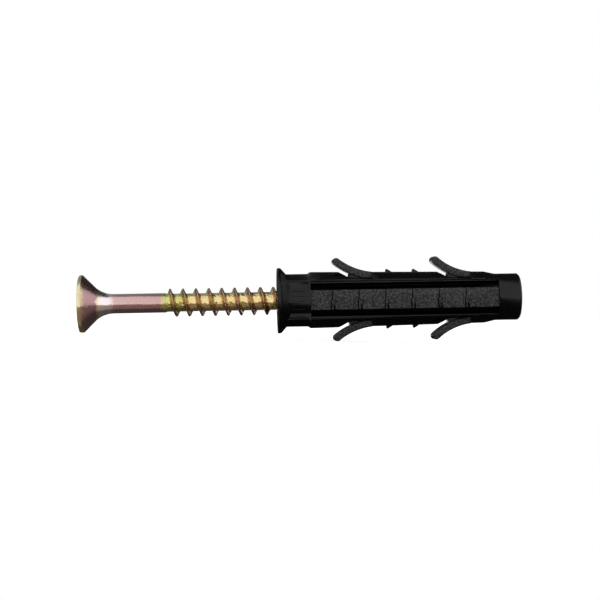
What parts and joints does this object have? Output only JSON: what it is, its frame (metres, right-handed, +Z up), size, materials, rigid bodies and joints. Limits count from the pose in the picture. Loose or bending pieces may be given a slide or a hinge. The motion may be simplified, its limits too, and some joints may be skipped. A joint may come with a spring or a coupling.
{
  "type": "expansion plug with screw",
  "caption": "Ribbed plastic expansion plug with barbed arms and a countersunk wood screw part driven into it, lying on its side.",
  "frame": {"origin": "centre of the rim's front face, on the axis that the plug and the screw share", "axes": "+X along the axis into the wall, towards the nose; +Y across the recessed strips, away from the one in the picture; +Z up, across the arms, of which it stands on the lower two"},
  "size_m": [0.0905, 0.0134, 0.017],
  "materials": {
    "black_nylon": "moulded black nylon, satin",
    "yellow_zinc_steel": "steel, zinc plated and yellow passivated"
  },
  "bodies": {
    "plug": {"expansion_plug": "black_nylon"},
    "screw": {"countersunk_screw": "yellow_zinc_steel"}
  },
  "joints": [
    {"name": "screw_drive", "type": "slide", "parent": "plug", "child": "screw", "axis": [1, 0, 0], "range_m": [-0.0195, 0.0405]}
  ]
}
